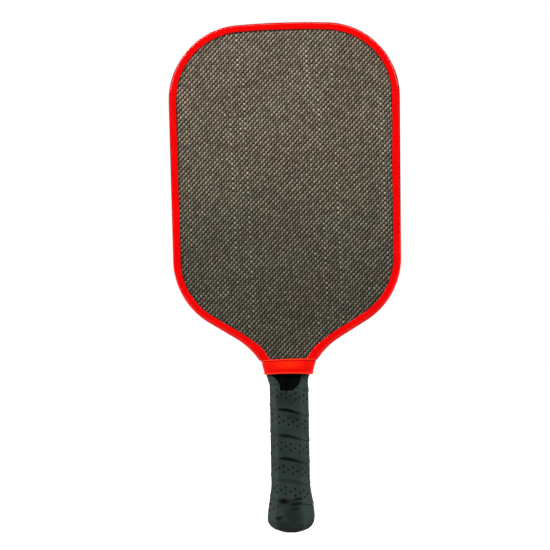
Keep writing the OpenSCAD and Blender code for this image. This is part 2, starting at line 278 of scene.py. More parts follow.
# A corner's radius is at most this share of the octagon's slanting side.
CORNER_SHARE = 1.35
CORNER_STEPS = 7
# The octagon's sides in the order they are walked, from the front's left slant round to the left.
SIDE_ORDER = [5, 6, 7, 0, 1, 2, 3, 4]


def flare(height):
    """How far the butt stands out beyond the handle."""
    height = np.asarray(height, float)
    t = np.clip((height - FLARE_HEIGHT) / (FLARE_TOP - FLARE_HEIGHT), 0, 1)
    skirt = FLARE_REACH * (1 + np.cos(math.pi * t)) / 2
    drop = np.clip((FLARE_HEIGHT - height) / BUTT_ROUND, 0, 0.999)
    rounding = FLARE_REACH - BUTT_ROUND * (1 - np.sqrt(1 - drop**2))
    return np.where(height < FLARE_HEIGHT, rounding, skirt)


def handle_rows(heights, skin, columns, corner=2.6, flared=True):
    """Points, outward directions, distances round the handle and girths for rows of a rounded
    octagon, `skin` outside the bare handle. Each row starts at the front's left corner and goes to
    the right across the front."""
    heights = np.asarray(heights, float)
    skin = np.broadcast_to(skin, heights.shape)
    stand = (flare(heights) if flared else 0) + skin
    throat_heights = np.maximum(heights, throat_centre[1] + TANG_RISE)
    bare = np.maximum(HANDLE_HALF, throat_half(SHEET_INSET, throat_heights))
    ramp = np.clip((heights - RAMP_START) / (RAMP_END - RAMP_START), 0, 1)
    wide = bare + stand
    deep = HANDLE_DEPTH + (SHEET_FRONT - HANDLE_DEPTH) * ramp + stand
    slant = (bare + SHEET_FRONT) / math.sqrt(2) + stand
    slant_side = wide + deep - math.sqrt(2) * slant
    corner = np.minimum(corner, CORNER_SHARE * slant_side)
    distances = np.stack([wide, slant, deep, slant] * 2, 1) - corner[:, None]
    angles = np.radians(np.arange(8) * 45.0)
    ray = np.stack([np.cos(angles), np.sin(angles)], 1)
    along = np.stack([-ray[:, 1], ray[:, 0]], 1)
    following = np.roll(distances, -1, 1)
    reach = (following - distances * math.cos(math.pi / 4)) / math.sin(math.pi / 4)
    centres = distances[..., None] * ray + reach[..., None] * along
    steps = np.linspace(0, 45, CORNER_STEPS)
    turn = np.radians(np.concatenate([225 + 45 * i + steps for i in range(8)]))
    rows, normals, around = [], [], []
    for i in range(len(heights)):
        middle = np.repeat(centres[i][SIDE_ORDER], len(steps), 0)
        line = middle + corner[i] * np.stack([np.cos(turn), np.sin(turn)], 1)
        line, bend = np.vstack([line, line[:1]]), np.r_[turn, turn[0] + 2 * math.pi]
        travel = np.r_[0, np.cumsum(np.hypot(*np.diff(line, axis=0).T))]
        start = travel[len(steps) // 2]
        places = start + np.linspace(0, travel[-1], columns, endpoint=False)
        lap = places % travel[-1]
        direction = np.interp(lap, travel, bend)
        rows.append(np.stack([np.interp(lap, travel, line[:, k]) for k in (0, 1)], 1))
        normals.append(np.stack([np.cos(direction), np.sin(direction)], 1))
        around.append(places - start)
    length = np.array([a[-1] * columns / (columns - 1) for a in around])
    return np.array(rows), np.array(normals), np.array(around), length


def raise_rows(rows, normals, heights, lift=0.0):
    """Rows of (x, y) points as a grid of (x, y, height), moved outwards by lift."""
    moved = rows + normals * np.broadcast_to(lift, rows.shape[:2])[..., None]
    tall = np.broadcast_to(np.asarray(heights, float)[:, None], rows.shape[:2])
    return np.concatenate([moved, tall[..., None]], 2)


# The gap in the wrap on the front, where the finishing tape shows, as [x, height].
NOTCH = np.array(
    [
        [-6.6, 117.0], [4.4, 117.0], [4.9, 118.3], [7.9, 120.5], [10.3, 123.4], [11.1, 128.7],
        [11.3, 132.6], [-14.5, 132.6], [-13.1, 128.7], [-9.6, 125.7], [-7.2, 122.2],
    ]
)


def nearest_on(polygon, points):
    """The nearest place on a closed polygon to each point, and its distance."""
    best = np.full(len(points), np.inf)
    place = np.array(points, float)
    for a, b in zip(polygon, np.roll(polygon, -1, 0)):
        t = np.clip((points - a) @ (b - a) / ((b - a) @ (b - a)), 0, 1)
        spot = a + t[:, None] * (b - a)
        gap = np.hypot(*(points - spot).T)
        place = np.where((gap < best)[:, None], spot, place)
        best = np.minimum(best, gap)
    return place, best


def inside(polygon, points):
    """True for each point that lies inside a closed polygon."""
    x, y = points[:, 0], points[:, 1]
    odd = np.zeros(len(points), bool)
    for (ax, ay), (bx, by) in zip(polygon, np.roll(polygon, -1, 0)):
        if ay != by:
            odd ^= ((ay > y) != (by > y)) & (x < (bx - ax) * (y - ay) / (by - ay) + ax)
    return odd


def cut_notch(outer, inner, cell):
    """Marks the cells left when the notch is cut out of the front, and brings the points along
    the cut onto its line."""
    front = outer[..., 1] < -SHEET_FRONT / 2
    flat = outer[..., [0, 2]].reshape(-1, 2)
    place, gap = nearest_on(NOTCH, flat)
    hole = inside(NOTCH, flat)
    near = (front.ravel() & (gap < 0.75 * cell)).reshape(front.shape)
    for grid in (outer, inner):
        grid[near, 0] = place.reshape(*front.shape, 2)[near, 0]
        grid[near, 2] = place.reshape(*front.shape, 2)[near, 1]
    hole = (hole.reshape(front.shape) | near) & front
    right = np.roll(hole, -1, 1)
    return ~(hole[:-1] & right[:-1] & hole[1:] & right[1:])


# ---- Materials ----


class Finish:
    """A Principled material and short ways to add nodes to it."""

    def __init__(self, name, roughness, **values):
        self.material = bpy.data.materials.new(name)
        self.material.use_nodes = True
        self.tree = self.material.node_tree
        self.shader = self.tree.nodes["Principled BSDF"]
        self.set("Roughness", roughness)
        for key, value in values.items():
            self.set(key.replace("_", " "), value)
        self.place = self.add("ShaderNodeTexCoord").outputs["Object"]

    def add(self, kind, **settings):
        node = self.tree.nodes.new(kind)
        for key, value in settings.items():
            setattr(node, key, value)
        return node

    def put(self, value, socket):
        if isinstance(value, bpy.types.NodeSocket):
            self.tree.links.new(value, socket)
        else:
            socket.default_value = value

    def set(self, name, value):
        self.put(value, self.shader.inputs[name])

    def math(self, operation, *values):
        node = self.add("ShaderNodeMath", operation=operation)
        for value, socket in zip(values, node.inputs):
            self.put(value, socket)
        return node.outputs[0]

    def times(self, a, b):
        return self.math("MULTIPLY", a, b)

    def noise(self, scale, detail=3.0, vector=None, rough=0.5, distortion=0.0):
        node = self.add("ShaderNodeTexNoise")
        self.put(self.place if vector is None else vector, node.inputs["Vector"])
        numbers = {"Scale": scale, "Detail": detail, "Roughness": rough, "Distortion": distortion}
        for key, value in numbers.items():
            node.inputs[key].default_value = value
        return node.outputs["Fac"]

    def pebbles(self, scale):
        node = self.add("ShaderNodeTexVoronoi", feature="SMOOTH_F1")
        node.inputs["Scale"].default_value = scale
        self.put(self.place, node.inputs["Vector"])
        return node.outputs["Distance"]

    def spread(self, value, low, high, out_low, out_high):
        node = self.add("ShaderNodeMapRange", interpolation_type="SMOOTHSTEP")
        for socket, number in zip(node.inputs, (value, low, high, out_low, out_high)):
            self.put(number, socket)
        return node.outputs["Result"]

    def patches(self, scale, detail, low=0.0, high=1.0):
        return self.spread(self.noise(scale, detail), 0.35, 0.65, low, high)

    def mix(self, factor, a, b, blend="MIX"):
        node = self.add("ShaderNodeMix", data_type="RGBA", blend_type=blend)
        self.put(factor, node.inputs[0])
        self.put((*a, 1) if isinstance(a, tuple) else a, node.inputs[6])
        self.put((*b, 1) if isinstance(b, tuple) else b, node.inputs[7])
        return node.outputs[2]

    def scaled(self, factors):
        node = self.add("ShaderNodeVectorMath", operation="MULTIPLY")
        self.put(self.place, node.inputs[0])
        node.inputs[1].default_value = factors
        return node.outputs[0]

    def along(self, direction):
        node = self.add("ShaderNodeVectorMath", operation="DOT_PRODUCT")
        self.put(self.place, node.inputs[0])
        node.inputs[1].default_value = direction
        return node.outputs["Value"]

    def vector(self, x, y, z=0.0):
        node = self.add("ShaderNodeCombineXYZ")
        for value, socket in zip((x, y, z), node.inputs):
            self.put(value, socket)
        return node.outputs[0]

    def attribute(self, name):
        return self.add("ShaderNodeAttribute", attribute_name=name).outputs["Fac"]

    def bump(self, height, distance, strength=1.0, under=None):
        node = self.add("ShaderNodeBump")
        node.inputs["Strength"].default_value = strength
        node.inputs["Distance"].default_value = distance
        self.put(height, node.inputs["Height"])
        if under is not None:
            self.put(under, node.inputs["Normal"])
        return node.outputs[0]


# Spacing of the tows, how far the cloth is turned on the head, and how deep its weave is.
TOW_PITCH = 2.03
WEAVE_TILT = math.radians(1.6)
TOW_CROWN = 0.07
# Shares of the woven surface's height that follow the slanting dashes of the twisted tows, the
# squares of the plain weave, the upright tows and the level ones.
WEAVE_SHAPE = (0.46, 0.12, 0.26, 0.16)


def carbon_finish():
    """Plain-weave carbon cloth of twisted tows, under a thin satin resin coat, with painted light
    and shade on the weave.
    """
    f = Finish(
        "carbon_face", roughness=0.42, Specular_IOR_Level=0.14, Coat_Weight=0.03, Coat_Roughness=0.3
    )
    # p counts upright tows across the face, and q level tows up it.
    across = math.cos(WEAVE_TILT) / (TOW_PITCH * MM)
    up = math.sin(WEAVE_TILT) / (TOW_PITCH * MM)
    p = f.along((across, 0, up))
    q = f.along((-up, 0, across))
    column = f.math("ROUND", p)
    row = f.math("ROUND", q)

    def wave(value):
        return f.math("COSINE", f.times(value, math.pi))

    def random_by(*values):
        node = f.add("ShaderNodeTexWhiteNoise", noise_dimensions="2D")
        f.put(f.vector(*values), node.inputs["Vector"])
        return node.outputs["Value"]

    dash = wave(f.math("SUBTRACT", p, q))
    square = wave(f.math("ADD", p, q))
    upright = wave(f.math("MULTIPLY_ADD", p, 2.0, 0.17))
    level = wave(f.math("MULTIPLY_ADD", q, 2.0, -0.3))
    height = 0.0
    for part, share in zip((dash, square, upright, level), WEAVE_SHAPE):
        height = f.math("MULTIPLY_ADD", part, share, height)

    # Painted glints: now and then a tow is painted lighter along part of its length, as if it caught
    # the light, a level one more rarely.
    run_at = f.vector(f.times(column, 0.37), f.times(q, 0.035))
    run = f.spread(f.noise(1.0, 1.0, run_at), 0.35, 0.6, 0.2, 1.0)
    bright_tow = f.times(f.spread(random_by(column, 3.5), 0.8, 0.9, 0.0, 1.0), run)
    cross_at = f.vector(f.times(p, 0.06), f.times(row, 0.41))
    cross_run = f.spread(f.noise(1.0, 1.0, cross_at), 0.5, 0.65, 0.0, 1.0)
    bright_row = f.times(f.spread(random_by(7.5, row), 0.88, 0.94, 0.0, 1.0), cross_run)
    tow_glints = f.math("ADD", bright_tow, f.times(bright_row, 0.7))

    # Painted highlight and shade: the crowns of the weave are painted lighter than its hollows; each
    # crossing also has its own random tone.
    cell = f.spread(random_by(column, row), 0.0, 1.0, 0.68, 1.32)
    relief = f.math("MULTIPLY_ADD", f.times(tow_glints, square), 0.35, height)
    light = f.times(cell, f.spread(relief, -0.65, 0.95, 0.003, 0.25))
    light = f.times(light, f.math("MULTIPLY_ADD", tow_glints, 0.3, 1.0))

    # Fine filaments along the slanting dashes.
    strands = f.times(f.math("SUBTRACT", p, q), 14.0)
    hair = f.noise(1.0, 2.0, f.vector(strands, f.math("ADD", p, q)))

    # Painted light falloff: the cloth is painted darker towards the throat, as if lit from above the
    # tip; faint clouds vary its tone and tint.
    painted_falloff = f.spread(f.along((0, 0, 1)), 0.11, 0.31, 0.6, 1.12)
    cloud = f.spread(f.noise(14.0, 2.0), 0.3, 0.7, 0.93, 1.07)
    tone = f.times(f.times(light, painted_falloff), cloud)
    tone = f.times(tone, f.spread(hair, 0.3, 0.7, 0.78, 1.22))
    patch = f.patches(55.0, 2.0, 0.0, 0.45)
    greener = f.math("ADD", patch, f.spread(f.along((0, 0, 1)), 0.15, 0.3, 0.55, 0.0))
    tint = f.mix(greener, (1.0, 0.77, 0.55), (0.93, 0.88, 0.63))
    # The weave's painted highlight and shade, the painted glints and the painted falloff all go into
    # the base colour.
    f.set("Base Color", f.mix(1.0, tint, f.vector(tone, tone, tone), "MULTIPLY"))
    f.set("Roughness", f.spread(hair, 0.3, 0.7, 0.36, 0.56))
    coarse = f.bump(f.spread(height, -1.0, 1.0, 0.0, 1.0), 0.00015, 0.5)
    f.set("Normal", f.bump(hair, 0.00003, 0.5, coarse))
    return f.material


def guard_finish():
    """Glossy red plastic, faintly mottled and lightly scuffed, with painted shade on the outer
    rounding of the upper head.
    """
    f = Finish("guard_red", roughness=0.14, Specular_IOR_Level=0.22)
    mottle = f.patches(60.0, 4.0)
    red = f.mix(mottle, (0.67, 0.0006, 0.0004), (0.73, 0.001, 0.0007))
    scuff = f.spread(f.noise(900.0, 2.0, f.scaled((1.0, 1.0, 0.15))), 0.66, 0.74, 0.0, 0.5)
    red = f.mix(scuff, red, (0.7, 0.003, 0.002))
    # Painted shade on the outer rounding of the upper head.
    f.set("Base Color", f.mix(f.attribute("shade"), red, (0.15, 0.003, 0.003)))
    f.set("Roughness", f.patches(220.0, 4.0, 0.1, 0.18))
    f.set("Normal", f.bump(f.noise(120.0, 2.0), 0.0001, 0.3))
    return f.material


def collar_finish():
    """Matt orange-red rubber, with painted highlights on its lips and in the middle."""
    f = Finish("collar_red", roughness=0.42, Specular_IOR_Level=0.04)
    mottle = f.patches(90.0, 3.0)
    red = f.mix(mottle, (0.61, 0.0012, 0.0005), (0.66, 0.0025, 0.001))
    # Painted highlight in the middle of the front and the back.
    red = f.mix(f.attribute("glow"), red, (0.95, 0.018, 0.0012))
    # Painted highlights on the lips.
    f.set("Base Color", f.mix(f.attribute("shade"), red, (0.97, 0.055, 0.016)))
    f.set("Roughness", f.patches(300.0, 4.0, 0.38, 0.55))
    pulled = f.bump(f.noise(180.0, 3.0, f.scaled((0.3, 1.0, 1.6))), 0.0003, 0.35)
    f.set("Normal", f.bump(f.noise(2200.0, 2.0), 0.00003, 0.4, pulled))
    return f.material


def grip_finish():
    """Tacky dark green-grey overgrip with a fine leather grain, duller in its folds, with painted
    shade in its folds, under its seams and in its perforations.
    """
    f = Finish("grip_skin", roughness=0.5, Specular_IOR_Level=0.05)
    shade = f.attribute("shade")
    mottle = f.spread(f.noise(70.0, 5.0), 0.3, 0.7, 0.0, 1.0)
    plain = f.mix(mottle, (0.016, 0.0255, 0.021), (0.025, 0.037, 0.0315))
    grain = f.noise(1500.0, 3.0, rough=0.6)
    plain = f.mix(f.spread(grain, 0.4, 0.75, 0.0, 0.35), plain, (0.026, 0.034, 0.03))
    # Painted shade in the folds, under the seams and in the perforations.
    f.set("Base Color", f.mix(shade, plain, (0.0004, 0.0007, 0.0005)))
    dull = f.spread(f.noise(140.0, 4.0), 0.3, 0.7, 0.42, 0.6)
    f.set("Roughness", f.math("MULTIPLY_ADD", shade, 0.2, dull))
    wrinkle = f.bump(f.noise(190.0, 4.0, f.scaled((1.0, 1.0, 2.2)), distortion=0.6), 0.0005, 0.4)
    f.set("Normal", f.bump(f.pebbles(1300.0), 0.00008, 0.5, wrinkle))
    return f.material


def tape_finish():
    """Black vinyl finishing tape, with the creases it gets from being stretched."""
    f = Finish("finishing_tape", roughness=0.5, Specular_IOR_Level=0.01)
    mottle = f.spread(f.noise(120.0, 3.0), 0.4, 0.6, 0.0, 1.0)
    f.set("Base Color", f.mix(mottle, (0.0006, 0.001, 0.0008), (0.0016, 0.0022, 0.0019)))
    f.set("Roughness", f.patches(260.0, 3.0, 0.36, 0.6))
    creases = f.noise(160.0, 3.0, f.scaled((1.0, 1.0, 3.0)), distortion=0.4)
    f.set("Normal", f.bump(creases, 0.0006, 0.4))
    return f.material


def fibre_finish(name, dark, light, scale, roughness):
    """Matted fibres, for the felt and the veils."""
    f = Finish(name, roughness=roughness, Specular_IOR_Level=0.2)
    matted = f.noise(scale, 6.0, rough=0.7, distortion=1.2)
    f.set("Base Color", f.mix(f.spread(matted, 0.35, 0.65, 0.0, 1.0), dark, light))
    f.set("Roughness", f.patches(scale / 3, 3.0, roughness - 0.1, roughness))
    f.set("Normal", f.bump(matted, 0.0002, 0.6))
    return f.material


def moulded_finish(name, dark, light, grain, roughness, depth):
    """Moulded plastic or foam with an even grain."""
    f = Finish(name, roughness=roughness, Specular_IOR_Level=0.4)
    f.set("Base Color", f.mix(f.patches(80.0, 4.0), dark, light))
    f.set("Roughness", f.patches(200.0, 4.0, roughness - 0.08, roughness + 0.08))
    f.set("Normal", f.bump(f.pebbles(grain), depth, 0.5))
    return f.material


# ---- Face sheets ----

# Grid cells to a tow in a sheet's mesh, and how far its turned grid reaches past the outline.
RELIEF_PER_TOW = 3
SPARE_SIDE = 15
SPARE_HEIGHT = 8


def sheet_outline():
    """A face sheet's outline as a polygon, from the tang's foot on the right round the head."""
    heights = np.arange(throat_centre[1] + TANG_RISE + 0.2, edge_points[0][1], GUARD_STEP)
    throat = np.stack([throat_half(SHEET_INSET, heights), heights], 1)
    head = edge_points - SHEET_INSET * edge_outward
    foot = np.array([[HANDLE_HALF, SHEET_FOOT]])
    return np.vstack([foot, throat, head, throat[::-1] * MIRROR, foot * MIRROR])


def weave_height(p, q):
    """Height of the woven surface, from -1 to 1, at a place counted in tows."""
    waves = (np.pi * (p - q), np.pi * (p + q), 2 * np.pi * p, 2 * np.pi * q)
    return sum(share * np.cos(wave) for share, wave in zip(WEAVE_SHAPE, waves))


def face_sheet(name, replaced, side, material):
    """One woven sheet on the front (side -1) or the back (side 1), with the weave in relief. The
    grid is laid from the frame's origin, as the material's pattern is."""
    outline = sheet_outline()
    reach = np.abs(outline).max(0)
    cell = TOW_PITCH / RELIEF_PER_TOW
    c, s = math.cos(WEAVE_TILT), math.sin(WEAVE_TILT)
    middle = from_butt(0.0)
    half = math.ceil((reach[0] + SPARE_SIDE) / cell)
    columns = np.arange(-half, half + 1)
    low = SHEET_FOOT - middle - SPARE_HEIGHT
    high = reach[1] - middle + SPARE_HEIGHT
    rows = np.arange(math.floor(low / cell), math.ceil(high / cell) + 1)
    p, q = np.meshgrid(columns / RELIEF_PER_TOW, rows / RELIEF_PER_TOW)
    x = (p * c - q * s) * TOW_PITCH
    height = (p * s + q * c) * TOW_PITCH + middle
    flat = np.stack([x, height], 2).reshape(-1, 2)
    within = inside(outline, flat).reshape(p.shape)
    touching = np.zeros_like(within)
    for down in (-1, 0, 1):
        for over in (-1, 0, 1):
            touching |= np.roll(np.roll(within, down, 0), over, 1)
    rim = (touching & ~within).ravel()
    flat[rim] = nearest_on(outline, flat[rim])[0]
    grid = flat.reshape(*p.shape, 2)
    keep = (within[:-1, :-1] & within[1:, 1:]) | (within[1:, :-1] & within[:-1, 1:])
    keep &= touching[:-1, :-1] & touching[1:, 1:] & touching[1:, :-1] & touching[:-1, 1:]
    relief = SHEET_FRONT - TOW_CROWN * (1 - weave_height(p, q))
    outer = np.stack([grid[..., 0], side * relief, grid[..., 1]], 2)
    inner = np.stack([grid[..., 0], np.full(p.shape, side * SHEET_BACK), grid[..., 1]], 2)
    if side > 0:
        outer, inner, keep = outer[:, ::-1], inner[:, ::-1], keep[:, ::-1]
    points, faces, _ = shell(outer, inner, keep, False)
    return make_piece(name, points, faces, material, "carbon_face", replaced)


# ---- Edge guard ----

INNER_FILLET = 0.5
# How far the lip's edge lies below its crown, where the crown is, and how far it reaches.
LIP_DROP = 0.12
CROWN_INSET = 3.6
CROWN_REACH = 2.4
# The groove that the mould leaves where the outer rounding ends.
GROOVE_DEPTH = 0.06
# The lip grows by this much on its way down to the collar, between these heights.
LIP_GROWTH = 1.7
GROWTH_TOP = 156.0
GROWTH_FOOT = 144.0
# How far the guard's ends go down behind the collar's upper rim.
GUARD_TUCK = 0.6
# The groove and the rounding beside it carry painted shade on the upper head: the insets and the
# heights between which that comes in.
PAINTED_SHADE_INSETS = (1.35, 0.85)
PAINTED_SHADE_HEIGHTS = (210.0, 290.0)


def guard_profile():
    """Half of the guard's section, from the web's inner face round the lip to the outer face, as
    [inset from the outer face, distance from the middle plane]."""
    under = GUARD_HALF - GUARD_LIP
    tip = GUARD_LIP / 2
    fillet = [
        [GUARD_WEB + INNER_FILLET * (1 - math.cos(a)), under - INNER_FILLET * (1 - math.sin(a))]
        for a in np.radians([0, 30, 60, 90])
    ]
    lip = [
        [GUARD_REACH - tip + tip * math.cos(a), GUARD_HALF - LIP_DROP - tip + tip * math.sin(a)]
        for a in np.radians(np.arange(-90, 91, 22.5))
    ]
    crown = [
        [x, GUARD_HALF - LIP_DROP * ((x - CROWN_INSET) / CROWN_REACH) ** 2]
        for x in (5.2, 4.4, 3.6, 3.0)
    ]
    corner = [
        [GUARD_ROUND * (1 - math.sin(a)), GUARD_HALF - GUARD_ROUND * (1 - math.cos(a))]
        for a in np.radians(np.arange(5, 91, 8.5))
    ]
    rounded = GUARD_HALF - GUARD_ROUND
    web = [[GROOVE_DEPTH, rounded - 0.25], [0, rounded - 0.6], [0, GUARD_HALF / 3]]
    return np.array(fillet + lip + crown + corner + web)


def along_edge(section, inset):
    """Rings of a section carried along the head's edge, with each of its points' insets at each
    place on the edge."""
    flat = edge_points[:, None] - inset[..., None] * edge_outward[:, None]
    depth = np.broadcast_to(-section[:, 1], inset.shape)
    return np.stack([flat[..., 0], depth, flat[..., 1]], 2)


def collar_rim(x, half):
    """How far the collar's rim stands above its ends at a place across the face."""
    return np.maximum(0, 1 - (x / half) ** 2)


def edge_guard(material):
    """The red strip round the head. Its lip wanders a little and its ends follow the collar."""
    half = guard_profile()
    section = np.vstack([half, (half * [1, -1])[::-1]])
    travel = edge_length[:, None]
    on_lip = smoothstep(4.6, GUARD_REACH, section[:, 0])
    wander = 0.12 * np.sin(travel / 23.0) + 0.08 * np.sin(travel / 9.7 + 1.3)
    wander = wander + LIP_GROWTH * smoothstep(GROWTH_TOP, GROWTH_FOOT, edge_points[:, 1:])
    inset = section[:, 0] + on_lip * wander
    rings = along_edge(section, inset)
    for ring in (0, -1):
        rim = COLLAR_ARCH_HIGH * collar_rim(rings[ring, :, 0], COLLAR_HALF)
        height = COLLAR_TOP + rim - GUARD_TUCK
        side = 1 if ring == 0 else -1
        rings[ring, :, 0] = side * throat_half(inset[ring], height)
        rings[ring, :, 2] = height
    points, faces = loft(rings, closed=False, caps=True)
    # Painted shade along the outer rounding, coming in on the upper head.
    outermost = np.abs(section[:, 1]) > GUARD_HALF - GUARD_ROUND - 0.3
    painted_rim_shade = smoothstep(*PAINTED_SHADE_INSETS, section[:, 0]) * outermost
    shade = np.outer(smoothstep(*PAINTED_SHADE_HEIGHTS, edge_points[:, 1]), painted_rim_shade)
    return make_piece(
        "edge_guard_strip", points, faces, material, "edge_guard", "edge_guard", shade=shade
    )


def guard_adhesive(material):
    """The black adhesive tape between the guard and the sheets, reaching past each lip as a fine
    dark line that partly stands in for the lip's contact shadow."""
    low = SHEET_FRONT + CLEAR
    high = GUARD_HALF - GUARD_LIP - CLEAR
    half = np.array(
        [
            [SHEET_INSET + CLEAR, low], [ADHESIVE_REACH, low],
            [ADHESIVE_REACH, high], [GUARD_WEB + CLEAR, high],
        ]
    )
    section = np.vstack([half, (half * [1, -1])[::-1]])
    ragged = 0.05 * np.sin(edge_length / 3.1) + 0.05 * np.sin(edge_length / 7.3 + 0.6)
    # Past the lip, the tape's dark edge is partly a stand-in for the lip's contact shadow.
    inset = section[:, 0] + np.where(section[:, 0] == ADHESIVE_REACH, 1, 0) * ragged[:, None]
    points, faces = loft(along_edge(section, inset), closed=False, caps=True)
    return make_piece("guard_adhesive", points, faces, material, "adhesive", "edge_guard_adhesive")


# ---- Collar ----

# Half-widths at the upper and the lower rim, and how the width grows between them.
COLLAR_HALF = 23.6
COLLAR_LOW = 19.7
COLLAR_WIDENING = 0.18
COLLAR_CURL = 0.009
# Half-depths at the lower and the upper rim, and how far the front and the back bulge past them.
COLLAR_DEPTH_LOW = 10.9
COLLAR_DEPTH_HIGH = 8.7
COLLAR_CROWN = 0.55
COLLAR_CORNER = 6.0
COLLAR_WALL = 1.2
# How far the upper rim is shifted to the right, how high the rims arch over the faces, and how
# steeply the upper one rises to the right.
COLLAR_SKEW = 0.4
COLLAR_ARCH_LOW = 1.0
COLLAR_ARCH_HIGH = 0.45
COLLAR_TILT = 0.02
# Half-width of the painted highlight in the middle of the ring's front and back.
HIGHLIGHT_HALF = 11.0


def collar_ring(t, out):
    """One ring round the collar at t from its lower rim (0) to its upper one (1), `out` of the
    wall's thickness out from its inner side."""
    height = COLLAR_BOTTOM + t * (COLLAR_TOP - COLLAR_BOTTOM)
    rise = height - COLLAR_BOTTOM
    beads = 0.5 * (hump(t - 0.05, 0.05) + hump(t - 0.95, 0.05))
    grooves = 0.3 * (hump(t - 0.17, 0.07) + hump(t - 0.83, 0.07))
    lips = (beads - grooves) * smoothstep(0.4, 1, out)
    wall = COLLAR_WALL * (1 - out)
    half = COLLAR_LOW + COLLAR_WIDENING * rise + COLLAR_CURL * rise**2
    half = half + (0.3 + 0.9 * t) * lips - 0.2 * wall
    depth = COLLAR_DEPTH_LOW + (COLLAR_DEPTH_HIGH - COLLAR_DEPTH_LOW) * t + lips - wall
    corner = COLLAR_CORNER - 0.6 * wall
    straight = np.linspace(-1, 1, 41)[:-1] * (half - corner)
    bend = np.radians(np.linspace(-90, 90, 25)[:-1])
    front = np.stack([straight, np.full(40, -depth)], 1)
    side_x = half - corner + corner * np.cos(bend)
    side_y = (depth - corner) * np.sign(np.sin(bend)) + corner * np.sin(bend)
    side = np.stack([side_x, np.clip(side_y, -depth, depth)], 1)
    ring = np.vstack([front, side])
    ring = np.vstack([ring, -ring])
    rim = collar_rim(ring[:, 0], half)
    on_face = np.abs(ring[:, 1]) > depth - 0.01
    crown = COLLAR_CROWN * out * rim * np.sign(ring[:, 1]) * on_face
    lift = rim * (COLLAR_ARCH_LOW + (COLLAR_ARCH_HIGH - COLLAR_ARCH_LOW) * t)
    lift += COLLAR_TILT * ring[:, 0] * t
    return np.stack([ring[:, 0] + COLLAR_SKEW * t**2, ring[:, 1] + crown, height + lift], 1)


def collar(material):
    """The rubber ring at the throat. Its rows are (t, out) pairs for collar_ring()."""
    outside = [(t, 1.0) for t in np.linspace(0.02, 0.98, 49)]
    roll = [(0.985, 0.85), (0.997, 0.62), (1.0, 0.4), (0.997, 0.18), (0.985, 0.0)]
    within = [(t, 0.0) for t in np.linspace(0.9, 0.1, 9)]
    tuck = [(0.015, 0.0), (0.003, 0.18), (0.0, 0.4), (0.003, 0.62), (0.01, 0.85)]
    rows = outside + roll + within + tuck
    rings = [collar_ring(t, out) for t, out in rows]
    # Painted highlights along the rounded lips of the outside.
    lip_highlight = [hump(t - 0.045, 0.022) + hump(t - 0.955, 0.02) if out > 0 else 0 for t, out in rows]
    shade = np.repeat(np.clip(lip_highlight, 0, 1), len(rings[0]))
    # Painted highlight: a band a little above the ring's middle height, strongest round the middle
    # of its front and back.
    rise = np.repeat([hump(t - 0.62, 0.24) for t, _ in rows], len(rings[0]))
    points, faces = loft(rings, closed=True, caps=False)
    glow = rise * hump(points[:, 0], HIGHLIGHT_HALF)
    return make_piece(
        "throat_collar", points, faces, material, "collar", "collar", shade=shade, glow=glow
    )


# ---- Wrapped grip ----

# Distance round the handle from the front's left corner to its middle.
FRONT_HALF = 9.4
# Heights of the wrap's seam at the front's middle, from the collar down.
SEAMS = np.array([139.5, 120.6, 99.5, 78.6, 60.1, 42.8, 27.0, 8.7])
# How proud the tape is just above a seam, how deep it dips just below one, and how deep its lower
# edge sags in front and behind, with each turn's share of that from the collar down.
STEP_HEIGHT = 0.3
TUCK_DEPTH = 0.28
SAG_DEPTH = 0.7
SAG_BY_TURN = (0.2, 1.0, 0.8, 0.9, 0.35, 0.4, 0.2, 0.1)
# Rows of perforations as (distance below the seam, shift in pitches), and their pitch along the
# tape, radius and depth.
PORE_ROWS = ((5.0, 0.0), (7.6, 0.5), (10.2, 0.0))
PORE_PITCH = 7.1
PORE_RADIUS = 0.72
PORE_DEPTH = 0.75
# The turns from this one down, on the flare, have no perforations.
PORE_TURNS = 5
# Length of tape in a turn, and the cosine of the angle at which the tape climbs.
TURN_LENGTH = 98.0
LEAD_COSINE = 0.98
FOLD_DEPTH = 0.35
# Folds pressed into the tape, as [place round the handle from the front's middle, height, half
# length, half width, tilt in degrees, strength].
FOLDS = (
    (-4.6, 27.2, 4.2, 2.4, -8, 1.0),
    (7.5, 29.2, 4.0, 1.2, -5, 0.95),
    (5.0, 25.2, 6.5, 1.6, -3, 0.85),
    (5.5, 21.6, 4.5, 1.3, 0, 0.9),
    (-8.0, 14.5, 4.5, 1.7, 4, 0.75),
    (-1.0, 21.0, 2.6, 0.8, 28, 0.45),
    (1.5, 25.5, 10.5, 3.6, -6, 0.45),
    (3.5, 16.5, 8.0, 5.6, -20, 0.5),
    (-1.0, 110.5, 10.0, 6.0, -4, 0.35),
    (3.5, 95.5, 8.0, 3.0, -12, 0.4),
)


def seam_height(turns):
    """Height of the seam, at a number of turns down from the second of SEAMS."""
    return np.interp(turns, np.arange(len(SEAMS)) - 1.0, SEAMS)


def pore_pattern(travel, below):
    """1 inside the perforations and 0 outside, at places `travel` along the tape and `below` the
    seam above."""
    pores = np.zeros_like(travel)
    for row, shift in PORE_ROWS:
        offset = travel - (np.round(travel / PORE_PITCH - shift) + shift) * PORE_PITCH
        gap = np.hypot(offset, (below - row) * LEAD_COSINE)
        pores = np.maximum(pores, smoothstep(PORE_RADIUS + 0.25, PORE_RADIUS - 0.2, gap))
    return pores


